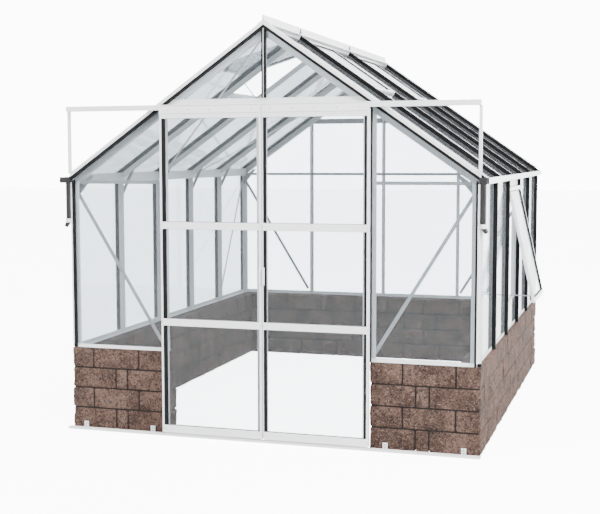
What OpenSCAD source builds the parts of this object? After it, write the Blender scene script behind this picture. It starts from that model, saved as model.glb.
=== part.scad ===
// Glass greenhouse with an aluminium frame on a dwarf wall of split stone.
// Millimetres. The front gable faces -Y and +Z is up. The origin is on the
// ground at the middle of the doorway, under the door track.

/* [Bays] */
// Distance between glazing bars, along the sides and across the gables
bay = 742; // [700:1:780]
// Number of bays along each side
side_bays = 5; // [5:1:7]

/* [Dwarf wall] */
// Height of one course of stone
course_h = 150; // [120:1:180]
// Number of courses
courses = 4; // [3:1:4]
// Thickness of the stone wall
wall_t = 190; // [150:1:240]

/* [Glazed frame] */
// Height of the underside of the eaves beams
eaves_z = 1800; // [1760:1:1860]
// Pitch of the roof in degrees
pitch = 35; // [34:0.5:38]
// Thickness of the glass
glass_t = 4; // [3:0.5:5]
// Width of a glazing bar's flange
bar_w = 26; // [24:1:30]
// Depth of a glazing bar
bar_d = 38; // [30:1:42]
// Width of the rubber strip on each side of a bar
strip_w = 11; // [9:0.5:12]
// Distance that the rubber strips stand out from the glass
strip_t = 28; // [20:1:30]

/* [Sliding doors] */
// Thickness of a door leaf
leaf_t = 32; // [30:1:34]
// Height of the top rail of the doors
door_top = 2315; // [2300:1:2316]
// Height of the lower middle rail
low_rail_z = 800; // [600:1:900]
// Height of the upper middle rail
high_rail_z = 1490; // [1300:1:1600]

/* [Roof vents and side window] */
// Length of a roof vent down the slope
vent_len = 640; // [500:1:700]
// Angle of the open roof vent in degrees
vent_open = 18; // [10:1:30]
// Height of the top-hung side window
window_h = 915; // [700:1:920]
// Angle of the open side window in degrees
window_open = 13; // [5:1:20]

/* [Hidden] */

skin = 3;                               // wall thickness of the aluminium profiles
frame_x = 2 * bay - 10;                 // outer face of the side glass
frame_y = side_bays * bay / 2 + 24;     // outer face of the gable glass
wall_x = frame_x + 37;                  // outer face of the stone at the sides
wall_y = frame_y + 8;                   // outer face of the stone at the gables
wall_h = course_h * courses;
sill_d = 50;                            // depth of the sill on the wall
sill_h = 25;                            // height of the sill's upstand
glass_z = wall_h + sill_h + 1;          // lower edge of the side and gable glass
slope = tan(pitch);
pane_gap = 4;                           // from a bar's centre line to the glass edge
back_x = frame_x - glass_t;             // plane behind the side glass
back_y = frame_y - glass_t;             // plane behind the gable glass
jamb_x = bay;                           // edge of the doorway
jamb_w = 48;
fin = 3;                                // half thickness of the fin between two strips
strip_out = fin + strip_w;              // from a bar's centre line to its strips' outer edges
edge_strip = 13;                        // width of the single strips at jambs and corners
rake_strip_w = 18;                      // width of the strips along the rakes
jamb_line = jamb_x + 12;                // strip line on a door jamb
edge_line = 2 * bay - 18;               // strip line on a corner post, seen from the gable
end_glass = frame_y - 18;               // ends of the side and roof glass along Y
ridge_half = 45;                        // half width of the ridge cap
ridge_beam_half = 20;
cap_rise = 34;                          // top of the end rafters over the roof glass
cap_w = 40;                             // width of the end rafters' and corner posts' covers
rake_top = 10;                          // underside of a rafter's cover in front of the glass
rafter_d = 50;                          // depth of the end rafters under the roof glass
web_drop = glass_t + bar_d;             // underside of the roof bars below the roof glass
flange_drop = glass_t + skin;           // underside of the roof bars' flanges
beam_x = back_x - 40;                   // inner face of the eaves beam
gutter_x = frame_x + 61;                // outer face of the gutter
gutter_z = eaves_z + 12;
gutter_top = eaves_z + 52;
// Height at which the planes of the roof glass meet
roof_z = round(gutter_top + frame_x * slope);
// Lower edge of the roof glass down the slope
pane_end = round(frame_x / cos(pitch) + 42.5);
pane_start = 30;                        // upper edge of the roof glass down the slope
vent_top = 62;                          // top edge of the vents down the slope
vent_end = vent_top + vent_len;
vent_bays = [1, 3];                     // bays with roof vents, counted from the front
open_vent = 1;                          // the left vent in this bay stands open
window_bay = 2;                         // bay of the right side with the window
window_top = eaves_z - 49;
window_bottom = window_top - window_h;
track_z = door_top + 9;                 // underside of the top track
track_h = 36;
track_front = frame_y + 66;
header_y = frame_y + 4;                 // outer face of the door header
cap_y = frame_y + 26;                   // outer face of the rafters' and corner posts' covers
track_back = cap_y + 2;
corner_x = frame_x + 10;                // outer face of the corner posts' covers at the sides
leaf_back = frame_y + 41;
leaf_front = leaf_back + leaf_t;
leaf_gap = 3;                           // half the gap between the closed leaves
leaf_w = bay + 15 - leaf_gap;
leaf_bottom = 26;
brace_w = 25;
brace_t = 4;
far = 6000;                             // longer than the building
door_y = wall_y + 35.5;                 // from the building's middle to the door track's

function bar_y(k) = (k - side_bays / 2) * bay;
// Lower and upper edge of the glass in bay k, along Y
function pane_from(k) = k == 0 ? -end_glass : bar_y(k) + pane_gap;
function pane_to(k) = k == side_bays - 1 ? end_glass : bar_y(k + 1) - pane_gap;
function has_vent(k) = len([for (v = vent_bays) if (v == k) v]) > 0;
// Height of a plane parallel to the roof glass and drop below it, at x
function under_roof(x, drop) = roof_z - abs(x) * slope - drop / cos(pitch);

// A box given by its lowest and highest corners
module box(low, high) {
    translate(low)
        cube([high.x - low.x, high.y - low.y, high.z - low.z]);
}

// Sets the building, drawn about its own middle, back to its place behind the origin
module set_back() {
    translate([0, door_y, 0])
        children();
}

module both_sides() {
    children();
    mirror([1, 0, 0]) children();
}

module both_ends() {
    children();
    mirror([0, 1, 0]) children();
}

// Local X runs down the slope of the roof from the ridge and local Z is its outward normal
module on_right_slope() {
    translate([0, 0, roof_z])
        rotate([0, pitch, 0])
            children();
}

module on_left_slope() {
    mirror([1, 0, 0])
        on_right_slope() children();
}

// Everything below a pair of planes parallel to the roof glass
module under_slopes(drop, half = 2 * frame_x) {
    translate([0, far / 2, 0])
        rotate([90, 0, 0])
            linear_extrude(far)
                polygon([[-half, -far], [half, -far], [half, under_roof(half, drop)],
                    [0, under_roof(0, drop)], [-half, under_roof(half, drop)]]);
}

// Cross-section of a glazing bar: flange at y = 0, web towards +Y with a bead at its end
module bar_section() {
    polygon([[-bar_w / 2, 0], [bar_w / 2, 0], [bar_w / 2, skin], [skin / 2, skin],
        [skin / 2, bar_d - 6], [5, bar_d - 6], [5, bar_d], [-5, bar_d],
        [-5, bar_d - 6], [-skin / 2, bar_d - 6], [-skin / 2, skin], [-bar_w / 2, skin]]);
}

// Upright glazing bar behind glass that faces -Y, at x = 0
module upright_bar(z_low, z_high) {
    translate([0, 0, z_low])
        linear_extrude(z_high - z_low)
            bar_section();
}

// A flat bar in the XZ plane between two points, with y from 0 to brace_t
module flat_brace(a, b) {
    run = b - a;
    length = norm(run);
    translate([a.x, 0, a.y])
        rotate([0, -atan2(run.y, run.x), 0])
            box([0, 0, -brace_w / 2], [length, brace_t, brace_w / 2]);
}

module rod(a, b, d = 9) {
    run = b - a;
    translate(a)
        rotate([0, acos(run.z / norm(run)), atan2(run.y, run.x)])
            cylinder(h = norm(run), d = d, $fn = 24);
}

// ---------- Dwarf wall ----------

module wall_front_left() {
    color("rosybrown") set_back()
        box([-wall_x, -wall_y, 0], [-jamb_x, -wall_y + wall_t, wall_h]);
}

module wall_front_right() {
    mirror([1, 0, 0]) wall_front_left();
}

module wall_left() {
    color("rosybrown") set_back()
        box([-wall_x, -wall_y + wall_t, 0], [-wall_x + wall_t, wall_y - wall_t, wall_h]);
}

module wall_right() {
    mirror([1, 0, 0]) wall_left();
}

module wall_back() {
    color("rosybrown") set_back()
        box([-wall_x, wall_y - wall_t, 0], [wall_x, wall_y, wall_h]);
}

// ---------- Sills, posts and bars ----------

// Sill along X with its outer face at y = 0: a base flange and an upstand below the glass
module sill(x_low, x_high) {
    box([x_low, 0, wall_h], [x_high, sill_d, wall_h + skin]);
    box([x_low, 0, wall_h], [x_high, glass_t, wall_h + sill_h]);
}

module gable_sills() {
    color("gainsboro") set_back() {
        both_sides()
            translate([0, -frame_y, 0])
                sill(jamb_x, frame_x);
        mirror([0, 1, 0])
            translate([0, -frame_y, 0])
                sill(-frame_x, frame_x);
    }
}

module side_sills() {
    reach = frame_y - sill_d;
    color("gainsboro") set_back()
        both_sides()
            translate([frame_x, 0, 0])
                rotate([0, 0, 90])
                    sill(-reach, reach);
}

// Corner post at the front right: an angle behind the glass, with a square cover outside
// and a fin beside the side strip
module corner_post() {
    arm = 40;
    cover_x = edge_line + edge_strip / 2 + 0.5;
    z_low = wall_h + skin;
    z_mid = wall_h + sill_h;
    z_high = gutter_z - 1;
    intersection() {
        union() {
            box([back_x - arm, -back_y, z_low], [back_x, -back_y + skin, roof_z]);
            box([back_x - skin, -back_y, z_low], [back_x, -back_y + arm, roof_z]);
            box([back_x - skin, -back_y, z_mid], [corner_x, -cap_y + cap_w, z_high]);
            box([cover_x, -frame_y, z_mid], [corner_x, -cap_y + cap_w, z_high]);
        }
        under_slopes(rafter_d);
    }
    box([cover_x, -cap_y, z_mid], [corner_x, -frame_y, z_high]);
    box([corner_x - 1, -cap_y + cap_w - 7, z_mid], [frame_x + strip_t, -cap_y + cap_w, z_high]);
}

module corner_posts() {
    color("gainsboro") set_back()
        both_ends()
            both_sides()
                corner_post();
}

module side_bars() {
    color("gainsboro") set_back()
        both_sides()
            for (k = [1:side_bays - 1])
                translate([back_x, bar_y(k), 0])
                    rotate([0, 0, 90]) {
                        upright_bar(wall_h + skin, eaves_z);
                        box([-fin, -glass_t - strip_t, wall_h + sill_h], [fin, skin, gutter_z - 13]);
                        box([-fin, -glass_t - strip_t, wall_h + sill_h], [fin, 0, gutter_z - 1]);
                    }
}

module door_jamb() {
    intersection() {
        union() {
            box([jamb_x, -back_y, wall_h + skin], [jamb_x + jamb_w, -back_y + skin, roof_z]);
            box([jamb_x, -back_y, wall_h + skin], [jamb_x + skin, -back_y + 40, roof_z]);
            box([jamb_x, -cap_y, wall_h + sill_h], [jamb_x + 5, -back_y + skin, roof_z]);
        }
        under_slopes(rafter_d);
    }
}

module door_jambs() {
    color("gainsboro") set_back()
        both_sides()
            door_jamb();
}

// Upright bar of a gable at x, with the fin that stands out between its two strips
module gable_bar(x, z_low, fin_low) {
    intersection() {
        union() {
            translate([x, -back_y, 0])
                upright_bar(z_low, roof_z);
            box([x - fin, -back_y - 1, fin_low], [x + fin, -back_y + skin, roof_z]);
        }
        under_slopes(rafter_d);
    }
    intersection() {
        box([x - fin, -cap_y, fin_low], [x + fin, -back_y, roof_z]);
        under_slopes(rake_strip_w / 2 + 1);
    }
}

// The bar over the doors and the bars of the back gable
module gable_bars() {
    color("gainsboro") set_back() {
        gable_bar(0, track_z + 74, track_z + 74);
        mirror([0, 1, 0])
            for (i = [-1:1])
                gable_bar(i * bay, wall_h + skin, wall_h + sill_h);
    }
}

// ---------- Eaves, ridge and roof ----------

module eaves_section() {
    beam_drop = flange_drop + 0.5;
    beam_top = under_roof(beam_x, beam_drop);
    difference() {
        polygon([[beam_x, eaves_z], [back_x, eaves_z], [back_x, gutter_z],
            [frame_x, gutter_z], [frame_x, under_roof(frame_x, beam_drop)], [beam_x, beam_top]]);
        polygon([[beam_x + skin, eaves_z + skin], [back_x - skin, eaves_z + skin],
            [back_x - skin, under_roof(back_x - skin, beam_drop) - 4],
            [beam_x + skin, under_roof(beam_x + skin, beam_drop) - 4]]);
    }
}

module gutter_section() {
    back_top = under_roof(frame_x + skin, flange_drop) - 2;
    polygon([[frame_x, gutter_z], [gutter_x, gutter_z], [gutter_x, gutter_top],
        [gutter_x - 6, gutter_top], [gutter_x - 6, gutter_top - skin],
        [gutter_x - skin, gutter_top - skin], [gutter_x - skin, gutter_z + skin],
        [frame_x + skin, gutter_z + skin], [frame_x + skin, back_top], [frame_x, back_top]]);
}

// A profile in XZ, extruded along Y from -half to half
module along_y(half) {
    translate([0, half, 0])
        rotate([90, 0, 0])
            linear_extrude(2 * half)
                children();
}

module eaves_gutters() {
    color("gainsboro") set_back()
        both_sides() {
            along_y(back_y - 40)
                eaves_section();
            along_y(frame_y)
                gutter_section();
        }
}

// The cap, with its upright crest, lies on the end rafters, and the beam's web reaches up to it
module ridge() {
    crest = 4;
    foot = 9;
    lip = under_roof(ridge_half, -cap_rise) + 4;
    rise = under_roof(foot, -cap_rise) + 5;
    skirt = [for (x = [ridge_half, 0, -ridge_half]) [x, under_roof(x, -cap_rise)]];
    color("gainsboro") set_back() {
        along_y(cap_y + 2)
            polygon(concat([[-ridge_half, lip], [-foot, rise], [-crest, roof_z + 76],
                [crest, roof_z + 76], [foot, rise], [ridge_half, lip]], skirt));
        along_y(back_y - 40)
            polygon([[-6, roof_z - 25], [-6, roof_z + 34], [6, roof_z + 34], [6, roof_z - 25],
                [ridge_beam_half, roof_z - 25], [ridge_beam_half, roof_z - 70],
                [-ridge_beam_half, roof_z - 70], [-ridge_beam_half, roof_z - 25]]);
    }
}

// Cross-section of an end rafter: x is the way in from the gable, y the way up from the roof glass
module rafter_section() {
    glass = cap_y - frame_y;
    edge = cap_y - back_y;
    inner = edge + 40;
    polygon([[0, rake_top], [0, cap_rise], [cap_w, cap_rise], [cap_w, -glass_t], [inner, -glass_t],
        [inner, -flange_drop], [edge + skin, -flange_drop], [edge + skin, skin - rafter_d],
        [inner, skin - rafter_d], [inner, -rafter_d], [edge, -rafter_d], [edge, 1], [glass, 1],
        [glass, rake_top]]);
}

module end_rafter() {
    foot_x = frame_x + 14;
    intersection() {
        on_right_slope()
            translate([-100, -cap_y, 0])
                rotate([90, 0, 90])
                    linear_extrude(far)
                        rafter_section();
        union() {
            box([0, -far / 2, 0], [back_x, far / 2, far]);
            box([0, -cap_y, 0], [foot_x, -frame_y, far]);
        }
    }
}

module end_rafters() {
    color("whitesmoke") set_back()
        both_ends()
            both_sides()
                end_rafter();
}

// Roof bar k: its web stops at the eaves beam, and its flange and fin run on over the gutter.
// The fin along the far edge of a vent starts below it.
module roof_bar(k) {
    fin_from = has_vent(k - 1) ? vent_end + 6 : pane_start;
    intersection() {
        on_right_slope()
            translate([0, bar_y(k), -glass_t])
                rotate([0, 0, -90])
                    rotate([90, 0, 0])
                        translate([0, 0, -2000])
                            linear_extrude(4000)
                                mirror([0, 1, 0])
                                    bar_section();
        box([ridge_beam_half, -far / 2, 0], [beam_x, far / 2, far]);
    }
    on_right_slope() {
        box([beam_x / cos(pitch) - 20, bar_y(k) - bar_w / 2, -flange_drop],
            [pane_end - 12, bar_y(k) + bar_w / 2, -glass_t]);
        box([fin_from, bar_y(k) - fin, -flange_drop], [pane_end - 12, bar_y(k) + fin, strip_t]);
    }
}

module roof_bars() {
    color("gainsboro") set_back()
        both_sides()
            for (k = [1:side_bays - 1])
                roof_bar(k);
}

module door_header() {
    color("lightgray") set_back()
        intersection() {
            box([-jamb_x + 1, -header_y, track_z - 6], [jamb_x - 1, -back_y + 36, track_z + 74]);
            under_slopes(rafter_d);
        }
}

// Tie bars at eaves level across both gables, and the upper tie of the back gable
module tie_bars() {
    tie_z = eaves_z + 4;
    tie_top = tie_z + 24;
    depth = 20;
    reach = back_x - skin - 1;
    color("lightgray") set_back()
        intersection() {
            both_sides() {
                box([jamb_x + skin + 1, -back_y + skin, tie_z],
                    [reach, -back_y + skin + depth, tie_top]);
                mirror([0, 1, 0]) {
                    box([bay + 6, -back_y + skin, tie_z], [reach, -back_y + skin + depth, tie_top]);
                    box([6, -back_y + skin, tie_z], [bay - 6, -back_y + skin + depth, tie_top]);
                    box([6, -back_y + skin, track_z - 6],
                        [bay - 6, -back_y + skin + depth, track_z + 44]);
                }
            }
            under_slopes(rafter_d);
        }
}

// ---------- Glass ----------

// A gable pane between two x positions, from z_low to the roof, with its outer face at y = 0
module gable_pane(x_low, x_high, z_low) {
    drop = 2;
    translate([0, glass_t, 0])
        rotate([90, 0, 0])
            linear_extrude(glass_t)
                polygon([[x_low, z_low], [x_high, z_low], [x_high, under_roof(x_high, drop)],
                    [x_low, under_roof(x_low, drop)]]);
}

// The three-cornered pane beside the bar over the doors
module upper_pane() {
    drop = 2;
    z_low = track_z + 75;
    x_low = pane_gap;
    translate([0, glass_t, 0])
        rotate([90, 0, 0])
            linear_extrude(glass_t)
                polygon([[x_low, z_low], [(under_roof(0, drop) - z_low) / slope, z_low],
                    [x_low, under_roof(x_low, drop)]]);
}

module front_glass() {
    color([0.75, 0.85, 0.9, 0.5]) set_back()
        translate([0, -frame_y, 0])
            both_sides() {
                gable_pane(jamb_line - pane_gap, edge_line + pane_gap, glass_z);
                upper_pane();
            }
}

module back_glass() {
    color([0.75, 0.85, 0.9, 0.5]) set_back()
        mirror([0, 1, 0])
            translate([0, -frame_y, 0])
                both_sides() {
                    gable_pane(pane_gap, bay - pane_gap, glass_z);
                    gable_pane(bay + pane_gap, edge_line + pane_gap, glass_z);
                }
}

module side_pane(k, z_high) {
    box([back_x, pane_from(k), glass_z], [frame_x, pane_to(k), z_high]);
}

module side_glass_left() {
    color([0.75, 0.85, 0.9, 0.5]) set_back()
        mirror([1, 0, 0])
            for (k = [0:side_bays - 1])
                side_pane(k, gutter_z - 1);
}

module side_glass_right() {
    color([0.75, 0.85, 0.9, 0.5]) set_back()
        for (k = [0:side_bays - 1])
            side_pane(k, k == window_bay ? window_bottom - 6 : gutter_z - 1);
}

// The fixed roof glass of one slope: the panes under a vent are shorter
module roof_panes() {
    for (k = [0:side_bays - 1])
        box([has_vent(k) ? vent_end + 4 : pane_start, pane_from(k), -glass_t], [pane_end, pane_to(k), 0]);
}

module roof_glass_left() {
    color([0.75, 0.85, 0.9, 0.5]) set_back()
        on_left_slope() roof_panes();
}

module roof_glass_right() {
    color([0.75, 0.85, 0.9, 0.5]) set_back()
        on_right_slope() roof_panes();
}

// ---------- Roof vents ----------

vent_bottom = 1.5;                      // underside of a vent frame over the roof glass
vent_h = 17;
vent_rail = 28;
function vent_near(k) = bar_y(k) + strip_out + 2;
function vent_far(k) = bar_y(k + 1) + 12.5;

module vent_sills() {
    color("lightgray") set_back()
        both_sides()
            for (k = vent_bays)
                on_right_slope()
                    box([vent_end - 18, bar_y(k) + bar_w / 2 + 1, -36],
                        [vent_end + 12, bar_y(k + 1) - bar_w / 2 - 1, -glass_t]);
}

// Turns a vent about its hinge at the ridge
module vent_turn(angle) {
    translate([vent_top, 0, vent_bottom + vent_h])
        rotate([0, -angle, 0])
            translate([-vent_top, 0, -vent_bottom - vent_h])
                children();
}

module vent_frame(k) {
    difference() {
        box([vent_top, vent_near(k), vent_bottom], [vent_end, vent_far(k), vent_bottom + vent_h]);
        box([vent_top + vent_rail, vent_near(k) + vent_rail, 0],
            [vent_end - vent_rail, vent_far(k) - vent_rail, far]);
    }
}

module vent_pane(k) {
    play = 0.5;
    box([vent_top + vent_rail + play, vent_near(k) + vent_rail + play, vent_bottom + 7],
        [vent_end - vent_rail - play, vent_far(k) - vent_rail - play, vent_bottom + 7 + glass_t]);
}

module roof_vents() {
    color("gainsboro") set_back()
        for (k = vent_bays) {
            on_right_slope() vent_frame(k);
            on_left_slope()
                vent_turn(k == open_vent ? vent_open : 0)
                    vent_frame(k);
        }
}

module vent_glass() {
    color([0.75, 0.85, 0.9, 0.5]) set_back()
        for (k = vent_bays) {
            on_right_slope() vent_pane(k);
            on_left_slope()
                vent_turn(k == open_vent ? vent_open : 0)
                    vent_pane(k);
        }
}

// ---------- Side window ----------

window_near = bar_y(window_bay) + strip_out + 2;
window_far = bar_y(window_bay + 1) - strip_out - 2;
window_t = 22;
window_rail = 32;
window_in = frame_x + 2;                // inner face of the closed window

module window_rails() {
    y_low = bar_y(window_bay) + bar_w / 2 + 1;
    y_high = bar_y(window_bay + 1) - bar_w / 2 - 1;
    color("gainsboro") set_back() {
        box([back_x - 24, y_low, window_top + 2], [frame_x + 4, y_high, eaves_z]);
        box([back_x - 24, y_low, window_bottom - 32], [back_x, y_high, window_bottom]);
    }
}

// Turns the window about its hinge under the eaves
module window_turn() {
    translate([window_in + window_t, 0, window_top])
        rotate([0, -window_open, 0])
            translate([-window_in - window_t, 0, -window_top])
                children();
}

module side_window() {
    color("gainsboro") set_back()
        window_turn()
            difference() {
                box([window_in, window_near, window_bottom], [window_in + window_t, window_far, window_top]);
                box([0, window_near + window_rail, window_bottom + window_rail],
                    [far, window_far - window_rail, window_top - window_rail]);
            }
}

module window_glass() {
    play = 0.5;
    inset = window_rail + play;
    color([0.75, 0.85, 0.9, 0.5]) set_back()
        window_turn()
            box([window_in + 9, window_near + inset, window_bottom + inset],
                [window_in + 9 + glass_t, window_far - inset, window_top - inset]);
}

// The rods that hold the open vent and the open window
module stay_rods() {
    y_mid = (window_near + window_far) / 2;
    foot_z = window_bottom + 32;
    hinge_x = window_in + window_t;
    foot_top = foot_z + 4.5;
    foot_x = hinge_x - window_t / cos(window_open) + (window_top - foot_top) * tan(window_open);
    turned = vent_len - 14;
    vent_y = (vent_near(open_vent) + 2 * vent_far(open_vent)) / 3;
    rail_x = vent_top * cos(pitch) + turned * cos(pitch - vent_open);
    rail_z = roof_z - vent_top * sin(pitch) - turned * sin(pitch - vent_open) - 6;
    color("silver") set_back() {
        rod([frame_x - 190, y_mid, foot_z], [foot_x, y_mid, foot_z]);
        rod([-rail_x, vent_y, rail_z], [-rail_x + 140, vent_y + 90, rail_z - 215], d = 8);
    }
}

// ---------- Braces ----------

module gable_braces() {
    high = [frame_x - 30, eaves_z - 58];
    low = [jamb_x + 34, wall_h + 50];
    color("lightgray") set_back()
        both_ends()
            both_sides()
                translate([0, -back_y + skin, 0])
                    flat_brace(high, low);
}

// One brace on each side, in the last bay from the eaves at the back corner to the wall
module side_braces() {
    high = [frame_y - 52, eaves_z - 40];
    low = [bar_y(side_bays - 1) + 30, wall_h + 40];
    color("lightgray") set_back()
        both_sides()
            translate([back_x - skin, 0, 0])
                rotate([0, 0, 90])
                    flat_brace(high, low);
}

// A flat bar in the local XY plane just under the roof bars
module slope_brace(a, b) {
    run = b - a;
    translate([a.x, a.y, -web_drop - brace_t - 1])
        rotate([0, 0, atan2(run.y, run.x)])
            box([0, -brace_w / 2, 0], [norm(run), brace_w / 2, brace_t]);
}

// Flat braces under each slope from the gables' ridge ends to the eaves
module roof_braces() {
    top_x = 90;
    foot_x = pane_end - 102;
    inner_y = back_y - 60;
    foot_y = bay / 2 + 20;
    color("lightgray") set_back()
        both_sides()
            on_right_slope()
                both_ends()
                    slope_brace([top_x, -inner_y], [foot_x, -foot_y]);
}

// Short knees between each side bar and its roof bar
module knee_braces() {
    color("lightgray") set_back()
        both_sides()
            for (k = [1:side_bays - 1])
                translate([0, bar_y(k) + 7, 0])
                    flat_brace([back_x - 18, eaves_z - 105], [back_x - 122, eaves_z + 108]);
}

// ---------- Rubber strips ----------

// A strip on the gable along the rake, with its inner face at y = 0
module rake_strip() {
    intersection() {
        on_right_slope()
            box([-60, -strip_t, -rake_strip_w / 2], [far, 0, rake_strip_w / 2]);
        box([0, -far, 0], [frame_x + 12, far, far]);
    }
}

// An upright strip on the gable between two x positions, with its inner face at y = 0
module gable_strip(x_low, x_high, z_low, drop) {
    intersection() {
        box([x_low, -strip_t, z_low], [x_high, 0, roof_z]);
        under_slopes(drop);
    }
}

// The two strips beside the bar at x
module gable_strip_pair(x, z_low) {
    for (side = [-1, 1])
        gable_strip(x + side * (fin + strip_w / 2) - strip_w / 2,
            x + side * (fin + strip_w / 2) + strip_w / 2, z_low, rake_strip_w / 2 + 1);
}

module gable_strips() {
    half = edge_strip / 2;
    z_low = wall_h + 2;
    color([0.2, 0.2, 0.21]) set_back() {
        both_ends()
            both_sides()
                translate([0, -frame_y, 0]) {
                    rake_strip();
                    gable_strip(edge_line - half, edge_line + half, z_low, 24);
                }
        translate([0, -frame_y, 0]) {
            both_sides()
                gable_strip(jamb_line - half, jamb_line + half, z_low, rake_strip_w / 2 + 1);
            gable_strip_pair(0, track_z + 75);
        }
        mirror([0, 1, 0])
            translate([0, -frame_y, 0])
                for (i = [-1:1])
                    gable_strip_pair(i * bay, z_low);
    }
}

module side_strips() {
    color([0.2, 0.2, 0.21]) set_back()
        both_sides() {
            for (k = [1:side_bays - 1])
                for (y = [bar_y(k) - strip_out, bar_y(k) + fin])
                    box([frame_x, y, wall_h + 2], [frame_x + strip_t, y + strip_w, gutter_z - 1]);
            both_ends()
                box([frame_x, end_glass - 9, wall_h + 2],
                    [frame_x + strip_t, end_glass + 3.5, gutter_z - 1]);
        }
}

// The strips along the far edge of a vent start below it
module roof_strips() {
    color([0.2, 0.2, 0.21]) set_back()
        both_sides()
            on_right_slope() {
                for (k = [1:side_bays - 1])
                    for (y = [bar_y(k) - strip_out, bar_y(k) + fin])
                        box([has_vent(k - 1) ? vent_end + 6 : pane_start, y, 0],
                            [pane_end, y + strip_w, strip_t]);
                both_ends()
                    box([pane_start, end_glass - 9, 0], [pane_end, end_glass + 3.5, strip_t]);
            }
}

// ---------- Rainwater ----------

module downpipe() {
    pipe_x = frame_x + 33;
    pipe_y = -frame_y - 16;
    color([0.12, 0.12, 0.13]) set_back() {
        translate([pipe_x, pipe_y, gutter_z - 265])
            cylinder(h = 265, d = 38, $fn = 48);
        translate([pipe_x, pipe_y, gutter_z - 288])
            cylinder(h = 26, d = 44, $fn = 48);
        translate([pipe_x, pipe_y, gutter_z - 280])
            rotate([0, 150, 0])
                cylinder(h = 46, d1 = 38, d2 = 28, $fn = 48);
    }
}

module gutter_end() {
    color([0.12, 0.12, 0.13]) set_back()
        box([frame_x + 13, -frame_y - 5, gutter_z], [gutter_x + 5, -frame_y, gutter_top + 2]);
}

module downpipes() {
    both_sides() {
        downpipe();
        both_ends()
            gutter_end();
    }
}

// ---------- Door tracks ----------

module top_track() {
    reach = 2 * bay + 6;
    plate = jamb_x - 60;
    color("gainsboro") set_back() {
        box([-reach, -track_front, track_z], [reach, -track_back, track_z + track_h]);
        box([-plate, -track_back, track_z + 4], [plate, -header_y, track_z + track_h]);
    }
}

module track_end_posts() {
    size = 20;
    x_low = frame_x + 2;
    front = track_back + 7;
    color("gainsboro") set_back()
        both_sides()
            difference() {
                box([x_low, -front, eaves_z + 50], [x_low + size, -front + size, track_z]);
                under_slopes(-cap_rise);
            }
}

module bottom_track() {
    reach = frame_x + 38;
    base = 6;
    lip = 16;
    clip_w = 34;
    slot = 10;
    mid = (leaf_back + leaf_front) / 2;
    color("gainsboro") set_back() {
        box([-reach, -2 * door_y + wall_y, 0], [reach, -wall_y, base]);
        for (y = [-mid - slot - skin, -mid + slot])
            box([-reach, y, 0], [reach, y + skin, lip]);
        both_sides()
            for (x = [860, 1395])
                box([x - clip_w / 2, -wall_y - 6, 0], [x + clip_w / 2, -wall_y, 50]);
    }
}

// ---------- Sliding doors ----------

rail_h = 50;
bottom_rail_top = 80;
outer_face = 16;                        // white edge of a stile beside its rubber strip
rebate = 28;                            // width of the ledge behind the glass edge
meeting_left = 16;                      // widths of the two meeting stiles' faces
meeting_right = 9;
leaf_glass_front = leaf_front - 8;
rail_tops = [bottom_rail_top, low_rail_z + rail_h, high_rail_z + rail_h, door_top];
rail_bottoms = [leaf_bottom, low_rail_z, high_rail_z, door_top - rail_h];

// The leaf from x = 0 at its outer edge to leaf_w at the meeting edge, facing -Y
module leaf(meeting_face) {
    box([0, -leaf_front, leaf_bottom], [outer_face, -leaf_back, door_top]);
    box([0, -leaf_glass_front + glass_t, leaf_bottom], [outer_face + rebate, -leaf_back, door_top]);
    box([leaf_w - meeting_face, -leaf_front, leaf_bottom], [leaf_w, -leaf_back, door_top]);
    box([leaf_w - meeting_face - 20, -leaf_glass_front + glass_t, leaf_bottom],
        [leaf_w, -leaf_back, door_top]);
    for (i = [0:3])
        box([0, -leaf_front, rail_bottoms[i]], [leaf_w, -leaf_back, rail_tops[i]]);
    header_plate();
    guide_fin();
}

// Cover plate in front of the top track
module header_plate() {
    box([0, -leaf_front - 4, door_top - 31], [leaf_w, -leaf_front, track_z + track_h]);
}

// Fin that runs between the lips of the bottom track
module guide_fin() {
    mid = (leaf_back + leaf_front) / 2;
    box([10, -mid - 3, 12], [leaf_w - 10, -mid + 3, leaf_bottom + 1]);
}

module leaf_glass(meeting_face) {
    for (i = [0:2])
        box([outer_face + 1, -leaf_glass_front, rail_tops[i] + 1],
            [leaf_w - meeting_face - 1, -leaf_glass_front + glass_t, rail_bottoms[i + 1] - 1]);
}

module handle() {
    z_low = 1111;
    plate = [17, 6, 122];
    translate([leaf_w - plate.x, -leaf_front - plate.y, z_low]) {
        cube(plate);
        translate([5, -14, 12])
            cube([8, 14, plate.z - 24]);
    }
}

module door_left() {
    color("whitesmoke") set_back()
        translate([-leaf_w - leaf_gap, 0, 0]) {
            leaf(meeting_left);
            handle();
        }
}

module door_glass_left() {
    color([0.75, 0.85, 0.9, 0.5]) set_back()
        translate([-leaf_w - leaf_gap, 0, 0])
            leaf_glass(meeting_left);
}

module door_right() {
    color("whitesmoke") set_back()
        mirror([1, 0, 0])
            translate([-leaf_w - leaf_gap, 0, 0]) {
                leaf(meeting_right);
                handle();
            }
}

module door_glass_right() {
    color([0.75, 0.85, 0.9, 0.5]) set_back()
        mirror([1, 0, 0])
            translate([-leaf_w - leaf_gap, 0, 0])
                leaf_glass(meeting_right);
}

wall_front_left();
wall_front_right();
wall_left();
wall_right();
wall_back();
gable_sills();
side_sills();
corner_posts();
side_bars();
door_jambs();
gable_bars();
eaves_gutters();
ridge();
end_rafters();
roof_bars();
door_header();
tie_bars();
front_glass();
back_glass();
side_glass_left();
side_glass_right();
roof_glass_left();
roof_glass_right();
vent_sills();
roof_vents();
vent_glass();
window_rails();
side_window();
window_glass();
stay_rods();
gable_braces();
side_braces();
roof_braces();
knee_braces();
gable_strips();
side_strips();
roof_strips();
downpipes();
top_track();
track_end_posts();
bottom_track();
door_left();
door_glass_left();
door_right();
door_glass_right();
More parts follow.
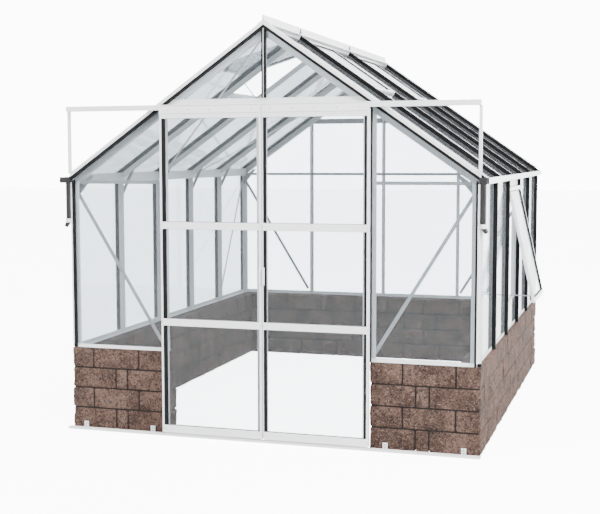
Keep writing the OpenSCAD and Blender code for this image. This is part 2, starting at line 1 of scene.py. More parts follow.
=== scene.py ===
import math
import random
from itertools import product

import bpy
from mathutils import Matrix, Vector, noise


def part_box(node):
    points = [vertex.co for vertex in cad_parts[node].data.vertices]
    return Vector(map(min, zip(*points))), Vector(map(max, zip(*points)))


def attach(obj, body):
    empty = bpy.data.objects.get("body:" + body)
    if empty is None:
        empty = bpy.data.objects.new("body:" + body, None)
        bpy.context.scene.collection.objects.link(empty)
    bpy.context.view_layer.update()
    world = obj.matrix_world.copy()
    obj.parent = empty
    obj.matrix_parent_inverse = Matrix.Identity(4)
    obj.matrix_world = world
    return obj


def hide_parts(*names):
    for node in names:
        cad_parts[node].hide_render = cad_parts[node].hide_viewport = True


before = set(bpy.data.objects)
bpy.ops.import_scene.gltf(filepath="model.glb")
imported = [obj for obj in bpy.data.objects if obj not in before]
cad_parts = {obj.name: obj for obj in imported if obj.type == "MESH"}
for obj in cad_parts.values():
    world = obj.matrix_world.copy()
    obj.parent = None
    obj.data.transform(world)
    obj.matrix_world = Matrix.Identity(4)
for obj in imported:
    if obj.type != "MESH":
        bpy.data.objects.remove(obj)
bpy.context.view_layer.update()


# ---------------------------------------------------------------- sizes shared with the CAD, in metres

COURSE = 0.15                    # height of a course of stone
COURSES = 4
WALL_H = COURSES * COURSE
BAY = 0.742                      # distance between glazing bars
SIDE_BAYS = 5
PITCH = math.radians(35.0)
ROOF_Z = 2.884                   # where the planes of the roof glass meet
MIDDLE = 1.9225                  # from the doorway back to the building's middle
FRONT = MIDDLE - 1.879           # outer face of the front gable's glass
GLASS_INSET = 0.008              # from a door leaf's face back to its glass
PANELS = ((0.080, 0.800), (0.850, 1.490), (1.540, 2.265))    # glazed openings up a door leaf
VENT_BAYS = (1, 3)
OPEN_VENT = 1                    # the left vent in this bay stands open
VENT_TOP, VENT_END = 0.062, 0.702                            # ends of a vent down the slope
VENT_RAIL = 0.028
VENT_FACE = 0.0185               # outer face of a closed vent over the roof glass
VENT_OPEN = math.radians(18.0)
WINDOW_HINGE = (1.498, 0.0, 1.751)
WINDOW_OPEN = math.radians(13.0)

MIRROR = Matrix.Scale(-1.0, 4, (1.0, 0.0, 0.0))
SLOPE = Matrix.Translation((0.0, 0.0, ROOF_Z)) @ Matrix.Rotation(PITCH, 4, "Y")


def bar_y(k):
    return MIDDLE + (k - SIDE_BAYS / 2) * BAY


# ---------------------------------------------------------------- node trees

class Tree:
    """A material's node tree, with short calls for the nodes the finishes share."""

    def __init__(self, name):
        self.mat = bpy.data.materials.new(name)
        self.mat.use_nodes = True
        self.nt = self.mat.node_tree
        self.nt.nodes.clear()
        self.out = self.nt.nodes.new("ShaderNodeOutputMaterial")

    def node(self, kind, **values):
        n = self.nt.nodes.new(kind)
        for key, v in values.items():
            setattr(n, key, v)
        return n

    def link(self, a, b):
        self.nt.links.new(a, b)

    def coords(self):
        return self.node("ShaderNodeTexCoord").outputs["Object"]

    def mapped(self, scale):
        m = self.node("ShaderNodeMapping")
        m.inputs["Scale"].default_value = scale
        self.link(self.coords(), m.inputs["Vector"])
        return m.outputs["Vector"]

    def noise(self, scale, detail=4.0, rough=0.55, vector=None):
        n = self.node("ShaderNodeTexNoise")
        n.inputs["Scale"].default_value = scale
        n.inputs["Detail"].default_value = detail
        n.inputs["Roughness"].default_value = rough
        self.link(vector or self.coords(), n.inputs["Vector"])
        return n.outputs["Fac"]

    def ramp(self, fac, stops):
        r = self.node("ShaderNodeValToRGB")
        e = r.color_ramp.elements
        while len(e) < len(stops):
            e.new(0.5)
        for el, (pos, col) in zip(e, stops):
            el.position = pos
            el.color = (*col, 1.0)
        self.link(fac, r.inputs["Fac"])
        return r.outputs["Color"]

    def span(self, fac, low, high, from_low=0.0, from_high=1.0):
        m = self.node("ShaderNodeMapRange")
        m.inputs["From Min"].default_value = from_low
        m.inputs["From Max"].default_value = from_high
        m.inputs["To Min"].default_value = low
        m.inputs["To Max"].default_value = high
        self.link(fac, m.inputs["Value"])
        return m.outputs["Result"]

    def mix(self, fac, a, b):
        m = self.node("ShaderNodeMix", data_type="RGBA", blend_type="MIX")
        for socket, v in ((m.inputs["Factor"], fac), (m.inputs[6], a), (m.inputs[7], b)):
            if isinstance(v, (int, float)):
                socket.default_value = v
            elif isinstance(v, tuple):
                socket.default_value = (*v, 1.0)
            else:
                self.link(v, socket)
        return m.outputs[2]

    def bump(self, height, strength, distance, normal=None):
        b = self.node("ShaderNodeBump")
        b.inputs["Strength"].default_value = strength
        b.inputs["Distance"].default_value = distance
        self.link(height, b.inputs["Height"])
        if normal is not None:
            self.link(normal, b.inputs["Normal"])
        return b.outputs["Normal"]

    def surface(self, base, rough, normal=None, metallic=0.0):
        p = self.node("ShaderNodeBsdfPrincipled")
        p.inputs["Metallic"].default_value = metallic
        self.link(base, p.inputs["Base Color"])
        if isinstance(rough, (int, float)):
            p.inputs["Roughness"].default_value = rough
        else:
            self.link(rough, p.inputs["Roughness"])
        if normal is not None:
            self.link(normal, p.inputs["Normal"])
        self.link(p.outputs["BSDF"], self.out.inputs["Surface"])
        return p


def aluminium(name, tone, metallic, rough):
    """Coated profile: faint mottling, fine grain and thin patches of dust."""
    t = Tree(name)
    cloud = t.noise(2.3, 5.0, 0.6)
    fine = t.noise(90.0, 3.0, 0.5)
    dirt = t.noise(11.0, 8.0, 0.72)
    darker = tuple(c * 0.93 for c in tone)
    dusty = tuple(c * f for c, f in zip(tone, (0.80, 0.78, 0.74)))
    base = t.ramp(cloud, [(0.3, darker), (0.7, tone)])
    base = t.mix(t.span(dirt, 0.0, 0.22, 0.60, 0.78), base, dusty)
    r = t.span(fine, rough - 0.07, rough + 0.09, 0.3, 0.7)
    n = t.bump(fine, 0.10, 0.0006)
    t.surface(base, r, n, metallic)
    return t.mat


def rubber():
    """Matt charcoal glazing strip with a chalky bloom."""
    t = Tree("rubber_strip")
    bloom = t.noise(7.0, 6.0, 0.62)
    grain = t.noise(240.0, 2.0, 0.5)
    base = t.ramp(bloom, [(0.32, (0.0040, 0.0040, 0.0043)), (0.72, (0.0095, 0.0095, 0.0104))])
    r = t.span(bloom, 0.50, 0.72, 0.3, 0.7)
    n = t.bump(grain, 0.22, 0.0006)
    p = t.surface(base, r, n)
    p.inputs["Specular IOR Level"].default_value = 0.12
    return t.mat


def plastic():
    """Black moulded rainwater fitting."""
    t = Tree("black_fittings")
    cloud = t.noise(14.0, 5.0, 0.6)
    base = t.ramp(cloud, [(0.3, (0.0050, 0.0050, 0.0056)), (0.75, (0.0125, 0.0125, 0.0140))])
    t.surface(base, t.span(cloud, 0.34, 0.52, 0.3, 0.7), t.bump(t.noise(160.0), 0.12, 0.0005))
    return t.mat


def glass(name, tint, haze, dust, mirror=1.0):
    """Window glass: tinted and clear head on, mirror-like at a glancing angle, with faint dust.

    haze and dust set how much of the surface is powder, and mirror the reflection at a grazing angle.
    """
    t = Tree(name)
    smear = t.noise(1.7, 6.0, 0.62)
    film = t.noise(23.0, 7.0, 0.7)
    clear = t.node("ShaderNodeBsdfTransparent")
    shade = t.ramp(smear, [(0.3, tuple(c * 0.985 for c in tint)), (0.7, tint)])
    t.link(shade, clear.inputs["Color"])
    gloss = t.node("ShaderNodeBsdfGlossy")
    gloss.inputs["Color"].default_value = (0.97, 0.985, 1.0, 1.0)
    t.link(t.span(smear, 0.015, 0.07, 0.3, 0.7), gloss.inputs["Roughness"])
    t.link(t.bump(t.noise(3.1, 2.0), 0.015, 0.004), gloss.inputs["Normal"])
    angle = t.node("ShaderNodeLayerWeight")
    angle.inputs["Blend"].default_value = 0.5
    glance = t.node("ShaderNodeMath", operation="POWER")
    glance.inputs[1].default_value = 5.0
    t.link(angle.outputs["Facing"], glance.inputs[0])
    pane = t.node("ShaderNodeMixShader")
    t.link(t.span(glance.outputs["Value"], 0.025, mirror), pane.inputs["Fac"])
    t.link(clear.outputs["BSDF"], pane.inputs[1])
    t.link(gloss.outputs["BSDF"], pane.inputs[2])
    powder = t.node("ShaderNodeBsdfDiffuse")
    powder.inputs["Color"].default_value = (0.93, 0.95, 0.96, 1.0)
    spread = t.node("ShaderNodeMixShader")
    t.link(t.span(film, haze, haze + dust, 0.35, 0.75), spread.inputs["Fac"])
    t.link(pane.outputs["Shader"], spread.inputs[1])
    t.link(powder.outputs["BSDF"], spread.inputs[2])
    t.link(spread.outputs["Shader"], t.out.inputs["Surface"])
    return t.mat


def stone():
    """Split stone: a tone for each block, brown and pinkish patches, pale chips, and painted shade: near
    black in the pits.
    """
    t = Tree("split_stone")
    tone = t.node("ShaderNodeAttribute", attribute_name="tone").outputs["Fac"]
    patch = t.noise(6.5, 8.0, 0.66)
    vein = t.noise(21.0, 9.0, 0.72, t.mapped((1.0, 1.0, 2.2)))
    grain = t.noise(150.0, 6.0, 0.7)
    body = t.ramp(tone, [(0.0, (0.040, 0.024, 0.018)), (0.35, (0.066, 0.038, 0.028)),
                         (0.7, (0.088, 0.056, 0.044)), (1.0, (0.052, 0.038, 0.032))])
    warm = t.ramp(patch, [(0.30, (0.020, 0.013, 0.011)), (0.46, (0.064, 0.038, 0.029)),
                          (0.60, (0.160, 0.098, 0.076)), (0.78, (0.085, 0.070, 0.062))])
    base = t.mix(0.6, body, warm)
    coarse = t.noise(62.0, 7.0, 0.74)
    chips = t.noise(105.0, 5.0, 0.66, t.mapped((1.0, 1.0, 1.4)))
    base = t.mix(t.span(vein, 0.0, 0.75, 0.55, 0.68), base, (0.014, 0.010, 0.008))
    base = t.mix(t.span(chips, 0.0, 0.85, 0.55, 0.66), base, (0.270, 0.185, 0.155))
    # near black where the coarse bump sinks: painted shade in the pits
    base = t.mix(t.span(coarse, 0.92, 0.0, 0.38, 0.50), base, (0.010, 0.007, 0.006))
    base = t.mix(t.span(grain, 0.0, 0.5, 0.56, 0.72), base, (0.240, 0.200, 0.180))
    n = t.bump(vein, 0.75, 0.008)
    n = t.bump(coarse, 0.9, 0.005, n)
    n = t.bump(grain, 0.6, 0.002, n)
    p = t.surface(base, t.span(patch, 0.82, 0.95, 0.3, 0.7), n)
    p.inputs["Specular IOR Level"].default_value = 0.15
    return t.mat


def joint_shade_core():
    """The near-black core that shows in the joints: painted shade at the bottom of the joints."""
    t = Tree("dark_joint")
    g = t.noise(120.0, 6.0, 0.7)
    # near black: painted shade deep in the joints
    base = t.ramp(g, [(0.3, (0.006, 0.005, 0.004)), (0.7, (0.016, 0.012, 0.010))])
    t.surface(base, 0.95, t.bump(g, 0.6, 0.002))
    return t.mat


def steel():
    """Zinc-plated bolts, rivets and screws."""
    t = Tree("zinc_fixings")
    g = t.noise(180.0, 4.0, 0.6)
    base = t.ramp(g, [(0.3, (0.30, 0.30, 0.31)), (0.7, (0.46, 0.46, 0.47))])
    t.surface(base, t.span(g, 0.32, 0.5, 0.3, 0.7), t.bump(g, 0.2, 0.0004), 0.85)
    return t.mat


M = {
    "white": aluminium("frame_white", (0.84, 0.845, 0.85), 0.0, 0.36),
    "grey": aluminium("frame_grey", (0.44, 0.452, 0.464), 0.15, 0.38),
    "door": aluminium("door_white", (0.89, 0.893, 0.897), 0.0, 0.33),
    "rubber": rubber(),
    "plastic": plastic(),
    "glass": glass("glass_front", (0.835, 0.858, 0.870), 0.004, 0.012),
    "glass_side": glass("glass_side", (0.660, 0.687, 0.702), 0.02, 0.03, 0.6),
    "glass_roof": glass("glass_roof", (0.480, 0.500, 0.512), 0.02, 0.03, 0.5),
    "stone": stone(),
    "joint_shade_core": joint_shade_core(),
    "steel": steel(),
}

# ---------------------------------------------------------------- finishes of the CAD nodes

FINISH = {
    "white": ["gable_sills", "side_sills", "corner_posts", "side_bars", "door_jambs", "gable_bars",
              "ridge", "end_rafters", "roof_bars", "door_header", "top_track", "track_end_posts",
              "bottom_track", "window_rails", "side_window", "roof_vents", "eaves_gutters"],
    "grey": ["tie_bars", "gable_braces", "side_braces", "roof_braces", "knee_braces",
             "vent_sills", "stay_rods"],
    "door": ["door_left", "door_right"],
    "rubber": ["gable_strips", "side_strips", "roof_strips"],
    "plastic": ["downpipes"],
    "glass": ["front_glass", "back_glass", "door_glass_left", "door_glass_right"],
    "glass_side": ["side_glass_left", "side_glass_right", "window_glass"],
    "glass_roof": ["roof_glass_left", "roof_glass_right", "vent_glass"],
}
for finish, nodes in FINISH.items():
    for n in nodes:
        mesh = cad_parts[n].data
        mesh.materials.clear()
        mesh.materials.append(M[finish])

# ---------------------------------------------------------------- mesh building

SQUARE = ((0, 0), (1, 0), (1, 1), (0, 1))


class Builder:
    """Collects vertices and faces for one piece; each face keeps its material's index."""

    def __init__(self):
        self.v, self.f, self.m, self.tone = [], [], [], []

    def add(self, verts, faces, material=0, tone=0.5):
        k = len(self.v)
        self.v += verts
        self.tone += [tone] * len(verts)
        self.f += [tuple(k + i for i in face) for face in faces]
        self.m += [material] * len(faces)

    def box(self, low, high, bevel=0.0, material=0, turn=None):
        """A box with its twelve edges cut back by bevel."""
        lo, hi = Vector(low), Vector(high)
        b = min(bevel, 0.45 * min(hi[i] - lo[i] for i in range(3)))
        if b <= 0:
            pts = list(product((lo.x, hi.x), (lo.y, hi.y), (lo.z, hi.z)))
            faces = [(0, 1, 3, 2), (4, 6, 7, 5), (0, 4, 5, 1), (2, 3, 7, 6), (0, 2, 6, 4), (1, 5, 7, 3)]
        else:
            pts, faces = self.bevelled(lo, hi, b)
        if turn is not None:
            pts = [tuple(turn @ Vector(p)) for p in pts]
            if turn.determinant() < 0:
                faces = [f[::-1] for f in faces]
        self.add(pts, faces, material)

    def bevelled(self, lo, hi, b):
        """Points and faces of a bevelled box: each corner has one point on each of its three sides."""
        pts, index = [], {}
        for axis in range(3):
            for s in product((0, 1), repeat=3):
                p = [hi[i] if s[i] else lo[i] for i in range(3)]
                for i in range(3):
                    if i != axis:
                        p[i] += -b if s[i] else b
                index[(axis, s)] = len(pts)
                pts.append(tuple(p))
        sides, edges = [], []
        for axis in range(3):
            u, w = (axis + 1) % 3, (axis + 2) % 3
            for side in (0, 1):
                loop = []
                for a, c in SQUARE:
                    s = [0, 0, 0]
                    s[axis], s[u], s[w] = side, a, c
                    loop.append(index[(axis, tuple(s))])
                sides.append(tuple(loop if side else loop[::-1]))
            for a, c in product((0, 1), repeat=2):
                s0, s1 = [0, 0, 0], [0, 0, 0]
                s0[u] = s1[u] = a
                s0[w] = s1[w] = c
                s1[axis] = 1
                q = (index[(u, tuple(s0))], index[(u, tuple(s1))],
                     index[(w, tuple(s1))], index[(w, tuple(s0))])
                edges.append(q if a == c else q[::-1])
        tips = []
        for s in product((0, 1), repeat=3):
            q = tuple(index[(axis, s)] for axis in range(3))
            tips.append(q if sum(s) % 2 else q[::-1])
        return pts, sides + edges + tips

    def disc(self, centre, axis, radius, height, sides=12, dome=0.0, material=0):
        """A round head standing on centre along axis, with a domed top."""
        a = Vector(axis).normalized()
        u = a.orthogonal().normalized()
        w = a.cross(u)
        c = Vector(centre)
        rings = [(radius, 0.0), (radius, height * (1 - dome))]
        if dome > 0:
            rings += [(radius * 0.72, height * (1 - 0.3 * dome))]
        pts = []
        for r, h in rings:
            pts += [tuple(c + a * h + (u * math.cos(t) + w * math.sin(t)) * r)
                    for t in (2 * math.pi * i / sides for i in range(sides))]
        faces = [tuple(range(sides - 1, -1, -1))]
        for k in range(len(rings) - 1):
            for i in range(sides):
                j = (i + 1) % sides
                faces.append((k * sides + i, k * sides + j, (k + 1) * sides + j, (k + 1) * sides + i))
        top = (len(rings) - 1) * sides
        if dome > 0:
            pts.append(tuple(c + a * height))
            faces += [(top + i, top + (i + 1) % sides, len(pts) - 1) for i in range(sides)]
        else:
            faces.append(tuple(top + i for i in range(sides)))
        self.add(pts, faces, material)

    def piece(self, name, materials, body="root", slot=None, replaces=()):
        mesh = bpy.data.meshes.new(name)
        mesh.from_pydata(self.v, [], self.f)
        for m in materials:
            mesh.materials.append(m)
        mesh.polygons.foreach_set("material_index", self.m)
        tones = mesh.attributes.new("tone", "FLOAT", "POINT")
        tones.data.foreach_set("value", self.tone)
        mesh.update()
        o = bpy.data.objects.new(name, mesh)
        bpy.context.scene.collection.objects.link(o)
        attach(o, body)
        if replaces:
            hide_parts(*replaces)


# ---------------------------------------------------------------- stone wall

JOINT = 0.0035                   # half the width of a joint
CELL = 0.019                     # size of a block's mesh cells
ARRIS = 0.011                    # radius of a block's edges before the noise varies it
CORE = 0.016                     # from a wall's faces to the near-black core that paints the shade in the joints
LONG, MIDDLING, SHORT = 0.362, 0.354, 0.322                  # lengths of the blocks


def rough(p, scale, seed):
    return noise.noise(Vector((p.x * scale + seed, p.y * scale, p.z * scale)))


def split_depth(p, seed):
    """How far a split face lies behind the block's outline at p."""
    depth = (0.0065 * (0.5 + 0.9 * rough(p, 7.0, seed))
             + 0.0045 * (0.5 + rough(p, 21.0, seed + 5.0))
             + 0.0026 * (0.5 + rough(p, 52.0, seed + 9.0)))
    return max(0.0, depth)


def rounded(p, lo, hi, edge, on_ground):
    """p moved in so that the block's edges are rounded, apart from those on the ground."""
    low_edge = (edge, edge, 0.0 if on_ground else edge)
    core = Vector([min(max(p[a], lo[a] + low_edge[a]), hi[a] - edge) for a in range(3)])
    out = p - core
    return core + out.normalized() * edge if out.length > 1e-9 else p


def block(b, low, high, faces_out, seed, tone):
    """One split block. faces_out names the sides whose face is split and shows, such as '-x'."""
    on_ground = low[2] <= 0
    on_top = high[2] >= WALL_H - 1e-6
    lo, hi = Vector(low), Vector(high)
    for i, letter in enumerate("xyz"):
        if "-" + letter not in faces_out and not (letter == "z" and on_ground):
            lo[i] += JOINT
        if "+" + letter not in faces_out and not (letter == "z" and on_top):
            hi[i] -= JOINT
    n = [max(3, round((hi[i] - lo[i]) / CELL)) for i in range(3)]
    index, pts = {}, []
    for key in product(*(range(n[a] + 1) for a in range(3))):
        if all(0 < key[a] < n[a] for a in range(3)):
            continue
        p = Vector([lo[a] + (hi[a] - lo[a]) * key[a] / n[a] for a in range(3)])
        edge = ARRIS * (0.75 + 0.9 * abs(rough(p, 14.0, seed)))
        p = rounded(p, lo, hi, edge, on_ground)
        for a, letter in enumerate("xyz"):
            at_low = key[a] == 0
            if not at_low and key[a] != n[a]:
                continue
            shown = ("-" if at_low else "+") + letter in faces_out
            if letter == "z":
                depth = 0.0 if at_low and on_ground else 0.0015 * abs(rough(p, 30.0, seed))
            elif shown:
                depth = split_depth(p, seed)
            else:
                depth = 0.002 * abs(rough(p, 26.0, seed))
            p[a] += depth if at_low else -depth
        index[key] = len(pts)
        pts.append(tuple(p))
    faces = []
    for a in range(3):
        u, w = (a + 1) % 3, (a + 2) % 3
        for side, s, t in product((0, n[a]), range(n[u]), range(n[w])):
            loop = []
            for du, dw in SQUARE:
                key = [0, 0, 0]
                key[a], key[u], key[w] = side, s + du, t + dw
                loop.append(index[tuple(key)])
            faces.append(tuple(loop if side else loop[::-1]))
    b.add(pts, faces, 0, tone)


def cuts(start, end, lengths, offset):
    """Joint positions from start to end, with the block lengths taken in turn."""
    at, out, i = start, [start], offset
    while True:
        at += lengths[i % len(lengths)]
        i += 1
        if at > end - 0.11:
            break
        out.append(at)
    return out + [end]


def course_levels(course):
    return course * COURSE, (course + 1) * COURSE


def flipped(lo, hi, shown):
    """The same block on the other side of the building."""
    swap = {"-x": "+x", "+x": "-x"}
    return (-hi[0], *lo[1:]), (-lo[0], *hi[1:]), [swap.get(s, s) for s in shown]


def build_walls():
    """The dwarf wall's blocks. In every other course a long block of the gable turns the corner."""
    rng = random.Random(7)
    wing, flank_box, back_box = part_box("wall_front_left"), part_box("wall_left"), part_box("wall_back")
    x0, x1 = wing[0].x, wing[1].x              # outer face and doorway edge of the left wing
    y0, y1 = wing[0].y, wing[1].y
    yb0, yb1 = back_box[0].y, back_box[1].y
    stretcher_cuts = [x0, x0 + MIDDLING, x0 + 0.447, x1]
    header_cuts = [x0, x0 + 0.175, x0 + 0.537, x1]

    def lay(b, sign, lo, hi, shown):
        if sign < 0:
            lo, hi, shown = flipped(lo, hi, shown)
        block(b, lo, hi, shown, rng.uniform(0, 90), rng.random())

    def core(b, sign, low, high):
        """The dark core inside a wall, painted shade for the joints, given by the wall's lower outline on
        the left side.
        """
        xa, xb = sorted((sign * (low[0] + CORE), sign * (high[0] - CORE)))
        b.box((xa, low[1], CORE), (xb, high[1], WALL_H - 0.006), material=1)

    for side, sign in (("left", 1), ("right", -1)):
        front, flank = Builder(), Builder()
        for course in range(COURSES):
            z0, z1 = course_levels(course)
            header = course % 2 == 1
            cut = header_cuts if header else stretcher_cuts
            last = len(cut) - 2
            for i, (a, c) in enumerate(zip(cut, cut[1:])):
                deep = y0 + LONG if header and i == 0 else y1
                shown = ["-y", "+y"] + (["-x"] if i == 0 else []) + (["+x"] if i == last else [])
                lay(front, sign, (a, y0, z0), (c, deep, z1), shown)
            start = y0 + LONG if header else y1
            end = yb1 - LONG if header else yb0
            cut = cuts(start, end, [LONG, MIDDLING, SHORT, LONG], course)
            for a, c in zip(cut, cut[1:]):
                lay(flank, sign, (flank_box[0].x, a, z0), (flank_box[1].x, c, z1), ["-x", "+x"])
        core(front, sign, (x0, y0 + CORE), (x1, y1 - CORE))
        core(flank, sign, (flank_box[0].x, y1 - CORE), (flank_box[1].x, yb0 + CORE))
        front.piece("stone_front_" + side, [M["stone"], M["joint_shade_core"]], slot="stone",
                    replaces=["wall_front_" + side])
        flank.piece("stone_" + side, [M["stone"], M["joint_shade_core"]], slot="stone", replaces=["wall_" + side])
    back = Builder()
    for course in range(COURSES):
        z0, z1 = course_levels(course)
        header = course % 2 == 1
        corner_w = 0.19 if header else MIDDLING
        cut = [x0] + cuts(x0 + corner_w, -x0 - corner_w, [LONG, MIDDLING, LONG, SHORT], course + 1) + [-x0]
        last = len(cut) - 2
        for i, (a, c) in enumerate(zip(cut, cut[1:])):
            low_y = yb1 - LONG if header and i in (0, last) else yb0
            shown = ["-y", "+y"] + (["-x"] if i == 0 else []) + (["+x"] if i == last else [])
            lay(back, 1, (a, low_y, z0), (c, yb1, z1), shown)
    core(back, 1, (x0, yb0 + CORE), (-x0, yb1 - CORE))
    back.piece("stone_back", [M["stone"], M["joint_shade_core"]], slot="stone", replaces=["wall_back"])


build_walls()

# ---------------------------------------------------------------- door seals, rivets and screws

HEADER_EDGES = (2.296, 2.350)    # heights of the ribs along a leaf's header plate, whose grey is painted shade of the plate's grooves
RIVETS, RIVET_Z = 5, 2.324
SCREW_ROWS = (0.055, 0.825, 1.515)

# name, body, direction from the outer stile to the other, seal widths at the outer stile and the other
LEAVES = (("left", "door_leaf_left", 1, 0.027, 0.0),
          ("right", "door_leaf_right", -1, 0.015, 0.020))


def door_trim():
    """Black seals beside the door glass, rivets on the header plates and screws at the rails."""
    for name, body, sign, outer_seal, inner_seal in LEAVES:
        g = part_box("door_glass_" + name)
        face = g[0].y - GLASS_INSET
        x_low, x_high = g[0].x, g[1].x
        outer, inner = (x_low, x_high) if sign > 0 else (x_high, x_low)
        seals, fixings = Builder(), Builder()
        for x, way, wide in ((outer, sign, outer_seal), (inner, -sign, inner_seal)):
            if not wide:
                continue
            xa, xb = sorted((x - way * 0.001, x + way * wide))
            for low, high in PANELS:
                seals.box((xa, face - 0.003, low + 0.001), (xb, face + 0.0075, high - 0.001), 0.0015)
        for low, high in PANELS:
            for z in (low - 0.0005, high - 0.0015):
                seals.box((x_low, face + 0.003, z), (x_high, face + 0.0075, z + 0.0035), 0.0005)
        # grey ribs on the white plate: painted shade of the grooves along the header plate
        for z in HEADER_EDGES:
            fixings.box((x_low - 0.004, face - 0.0055, z), (x_high + 0.004, face - 0.0039, z + 0.0035),
                        0.0006, material=1)
        for i in range(RIVETS):
            x = x_low + 0.05 + i * (x_high - x_low - 0.10) / (RIVETS - 1)
            fixings.disc((x, face - 0.004, RIVET_Z), (0, -1, 0), 0.0045, 0.0022, 10, 0.6)
        for z in SCREW_ROWS:
            for x in (outer - sign * 0.009, inner + sign * 0.006):
                fixings.disc((x, face, z), (0, -1, 0), 0.0038, 0.002, 10, 0.5)
        seals.piece("door_seals_" + name, [M["rubber"]], body, slot="rubber")
        fixings.piece("door_fixings_" + name, [M["steel"], M["grey"]], body, slot="aluminium")


door_trim()

# ---------------------------------------------------------------- vents, window and ridge

def opened(hinge, angle):
    """Turns a vent or window about its hinge line."""
    at = Matrix.Translation(hinge)
    return at @ Matrix.Rotation(-angle, 4, "Y") @ at.inverted()


def vent_seals(b):
    wide, z0, z1 = 0.006, VENT_FACE - 0.0055, VENT_FACE + 0.0007
    xa, xb = VENT_TOP + VENT_RAIL, VENT_END - VENT_RAIL
    for k in VENT_BAYS:
        ya, yb = bar_y(k) + 0.016 + VENT_RAIL, bar_y(k + 1) + 0.0125 - VENT_RAIL
        for side in (Matrix.Identity(4), MIRROR):
            turn = side @ SLOPE
            if side is MIRROR and k == OPEN_VENT:
                turn = turn @ opened((VENT_TOP, 0.0, VENT_FACE), VENT_OPEN)
            for lo, hi in (((xa, ya), (xb, ya + wide)), ((xa, yb - wide), (xb, yb)),
                           ((xa, ya + wide), (xa + wide, yb - wide)),
                           ((xb - wide, ya + wide), (xb, yb - wide))):
                b.box((*lo, z0), (*hi, z1), 0.001, turn=turn)


def window_seals(b):
    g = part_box("side_window")
    near, far = g[0].y + 0.030, g[1].y - 0.028
    low, high = 0.866, 1.721
    y0, y1 = near + 0.006, far - 0.008
    turn = opened(WINDOW_HINGE, WINDOW_OPEN)
    for lo, hi in (((near, low), (y0, high)), ((y1, low), (far, high)),
                   ((y0, low), (y1, low + 0.007)), ((y0, high - 0.008), (y1, high))):
        b.box((1.4885, *lo), (1.4990, *hi), 0.001, turn=turn)


def ridge_fittings(b):
    """A bolt on a small plate on each side of the ridge cap at the vents' near bars."""
    z = ROOF_Z + 0.0235
    for k in VENT_BAYS:
        for x in (0.030, -0.030):
            b.disc((x, bar_y(k), z + 0.001), (0, 0, 1), 0.0045, 0.034, 10, 0.4)
            b.box((x - 0.011, bar_y(k) - 0.013, z), (x + 0.011, bar_y(k) + 0.013, z + 0.007), 0.001)


seals = Builder()
vent_seals(seals)
window_seals(seals)
seals.piece("opening_seals", [M["rubber"]], slot="rubber")
fittings = Builder()
ridge_fittings(fittings)
fittings.piece("ridge_fittings", [M["plastic"]], slot="black_plastic")

# ---------------------------------------------------------------- bolts, gussets and collars

BRACE_ENDS = ((1.425, 1.722), (0.80, 0.683))                 # across and up the front gable
CLIP_X, CLIP_Z = (0.86, 1.395), (0.016, 0.036)
PIPE_X, COLLAR_Z = 1.507, 1.5225
GUSSET = ((1.462, 1.70), (1.462, 1.786), (1.352, 1.866), (1.322, 1.866))


def frame_fixings():
    """Bolts on the front gable's braces and the track's clips, eaves gussets and pipe collars."""
    bolts, plates, collars = Builder(), Builder(), Builder()
    brace_y = FRONT + 0.007
    clip_y = MIDDLE - 1.893
    pipe_y = MIDDLE - 1.895
    thick = 0.003
    quads = [(i, (i + 1) % 4, 4 + (i + 1) % 4, 4 + i) for i in range(4)]
    for sign in (1, -1):
        for x, z in BRACE_ENDS:
            bolts.disc((sign * x, brace_y, z), (0, -1, 0), 0.007, 0.0022, 6, 0.2)
        for x, z in product(CLIP_X, CLIP_Z):
            bolts.disc((sign * x, clip_y, z), (0, -1, 0), 0.005, 0.003, 10, 0.5)
        collars.disc((sign * PIPE_X, pipe_y, COLLAR_Z), (0, 0, 1), 0.0232, 0.028, 32)
        faces = [(3, 2, 1, 0), (4, 5, 6, 7)] + quads
        if sign < 0:
            faces = [f[::-1] for f in faces]
        for y in (FRONT + 0.0365, 2 * MIDDLE - FRONT - 0.0395):
            plates.add([(sign * x, y + back, z) for back in (0.0, thick) for x, z in GUSSET], faces)
    bolts.piece("frame_bolts", [M["steel"]], slot="aluminium")
    plates.piece("eaves_gussets", [M["grey"]], slot="aluminium")
    collars.piece("pipe_collars", [M["white"]], slot="aluminium")


frame_fixings()

# ---------------------------------------------------------------- stage, light and camera

FLOOR_SEEN = 9.0                 # the floor's glow for the camera
FLOOR_MIRRORED = 8.0             # and the most it has for reflections
SKY_SEEN = 12.0                  # the sky's strength for the camera
SKY_LIGHT = 1.05                 # and as light on the building
SKY_FRONT, SKY_BACK = 0.5, 10.0  # and for reflections, toward the front and toward the back
EYE = Vector((2.5653, -7.7215, 2.0044))


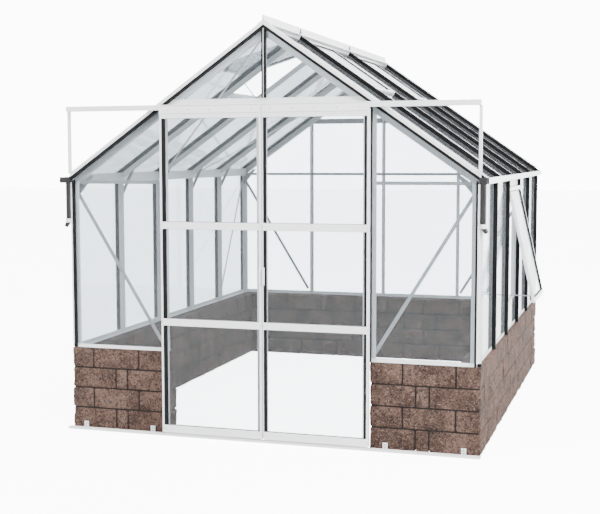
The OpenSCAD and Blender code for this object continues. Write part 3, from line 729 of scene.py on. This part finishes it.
def lay_floor():
    """A pale floor. It glows for the camera, and from 1 m behind the doorway back for reflections too."""
    reach, z = 60.0, -0.0005
    t = Tree("pale_floor")
    base = t.ramp(t.noise(0.35, 3.0), [(0.3, (0.86, 0.865, 0.87)), (0.7, (0.90, 0.90, 0.90))])
    ground = t.surface(base, 0.9)
    path = t.node("ShaderNodeLightPath")
    place = t.node("ShaderNodeSeparateXYZ")
    t.link(t.node("ShaderNodeNewGeometry").outputs["Position"], place.inputs["Vector"])
    behind = t.node("ShaderNodeMath", operation="MULTIPLY")
    t.link(path.outputs["Is Glossy Ray"], behind.inputs[0])
    t.link(t.span(place.outputs["Y"], 0.0, FLOOR_MIRRORED, 1.0, 5.0), behind.inputs[1])
    glow = t.node("ShaderNodeMath", operation="ADD")
    t.link(t.span(path.outputs["Is Camera Ray"], 0.0, FLOOR_SEEN), glow.inputs[0])
    t.link(behind.outputs["Value"], glow.inputs[1])
    t.link(glow.outputs["Value"], ground.inputs["Emission Strength"])
    ground.inputs["Emission Color"].default_value = (1.0, 1.0, 1.0, 1.0)
    mesh = bpy.data.meshes.new("floor")
    mesh.from_pydata([(a * reach, c * reach, z) for a, c in ((-1, -1), (1, -1), (1, 1), (-1, 1))], [],
                     [(0, 1, 2, 3)])
    mesh.materials.append(t.mat)
    floor = bpy.data.objects.new("floor", mesh)
    bpy.context.scene.collection.objects.link(floor)


def hang_sky():
    """The studio's walls: near white to the camera, and soft light on the building.

    Reflections find them dim toward the front and bright toward the back.
    """
    world = bpy.data.worlds.new("studio")
    bpy.context.scene.world = world
    world.use_nodes = True
    nt = world.node_tree
    nt.nodes.clear()
    out = nt.nodes.new("ShaderNodeOutputWorld")
    path = nt.nodes.new("ShaderNodeLightPath")

    def sky(colour, strength=1.0):
        n = nt.nodes.new("ShaderNodeBackground")
        n.inputs["Color"].default_value = (*colour, 1.0)
        n.inputs["Strength"].default_value = strength
        return n

    def choose(fac, a, b):
        n = nt.nodes.new("ShaderNodeMixShader")
        nt.links.new(fac, n.inputs["Fac"])
        nt.links.new(a, n.inputs[1])
        nt.links.new(b, n.inputs[2])
        return n.outputs["Shader"]

    cool = (0.97, 0.985, 1.0)
    seen = sky((1.0, 1.0, 1.0), SKY_SEEN)
    mirrored = sky(cool)
    light = sky(cool, SKY_LIGHT)
    toward = nt.nodes.new("ShaderNodeTexCoord")
    axes = nt.nodes.new("ShaderNodeSeparateXYZ")
    screen = nt.nodes.new("ShaderNodeMapRange")
    for socket, value in (("From Min", -0.5), ("From Max", 0.4),
                          ("To Min", SKY_FRONT), ("To Max", SKY_BACK)):
        screen.inputs[socket].default_value = value
    nt.links.new(toward.outputs["Generated"], axes.inputs["Vector"])
    nt.links.new(axes.outputs["Y"], screen.inputs["Value"])
    nt.links.new(screen.outputs["Result"], mirrored.inputs["Strength"])
    indirect = choose(path.outputs["Is Glossy Ray"], light.outputs["Background"],
                      mirrored.outputs["Background"])
    nt.links.new(choose(path.outputs["Is Camera Ray"], indirect, seen.outputs["Background"]),
                 out.inputs["Surface"])


def hang_lamps():
    """Two large soft lamps, from the front left and, stronger, from the right."""
    for place, aim, power in (((-5.5, -8.5, 7.5), (0.0, 1.5, 1.0), 1500.0),
                              ((7.5, -3.0, 6.5), (0.5, 2.0, 1.0), 2200.0)):
        data = bpy.data.lights.new("soft_light", "AREA")
        data.shape = "SQUARE"
        data.size = 5.0
        data.energy = power
        lamp = bpy.data.objects.new("soft_light", data)
        bpy.context.scene.collection.objects.link(lamp)
        lamp.location = place
        lamp.rotation_euler = (Vector(aim) - Vector(place)).to_track_quat("-Z", "Y").to_euler()


def place_camera():
    yaw, pitch, roll = -0.3170, -0.0894, -0.0037
    ahead = Vector((math.sin(yaw) * math.cos(pitch), math.cos(yaw) * math.cos(pitch), math.sin(pitch)))
    level = Vector((math.cos(yaw), -math.sin(yaw), 0.0))
    upright = level.cross(ahead)
    right = level * math.cos(roll) + upright * math.sin(roll)
    up = upright * math.cos(roll) - level * math.sin(roll)
    data = bpy.data.cameras.new("camera")
    data.sensor_width = 36.0
    data.lens = 70.75
    data.shift_x = 0.054
    data.shift_y = 0.0069
    cam = bpy.data.objects.new("camera", data)
    bpy.context.scene.collection.objects.link(cam)
    m = Matrix((right, up, -ahead)).transposed().to_4x4()
    m.translation = EYE
    cam.matrix_world = m
    bpy.context.scene.camera = cam


lay_floor()
hang_sky()
hang_lamps()
place_camera()
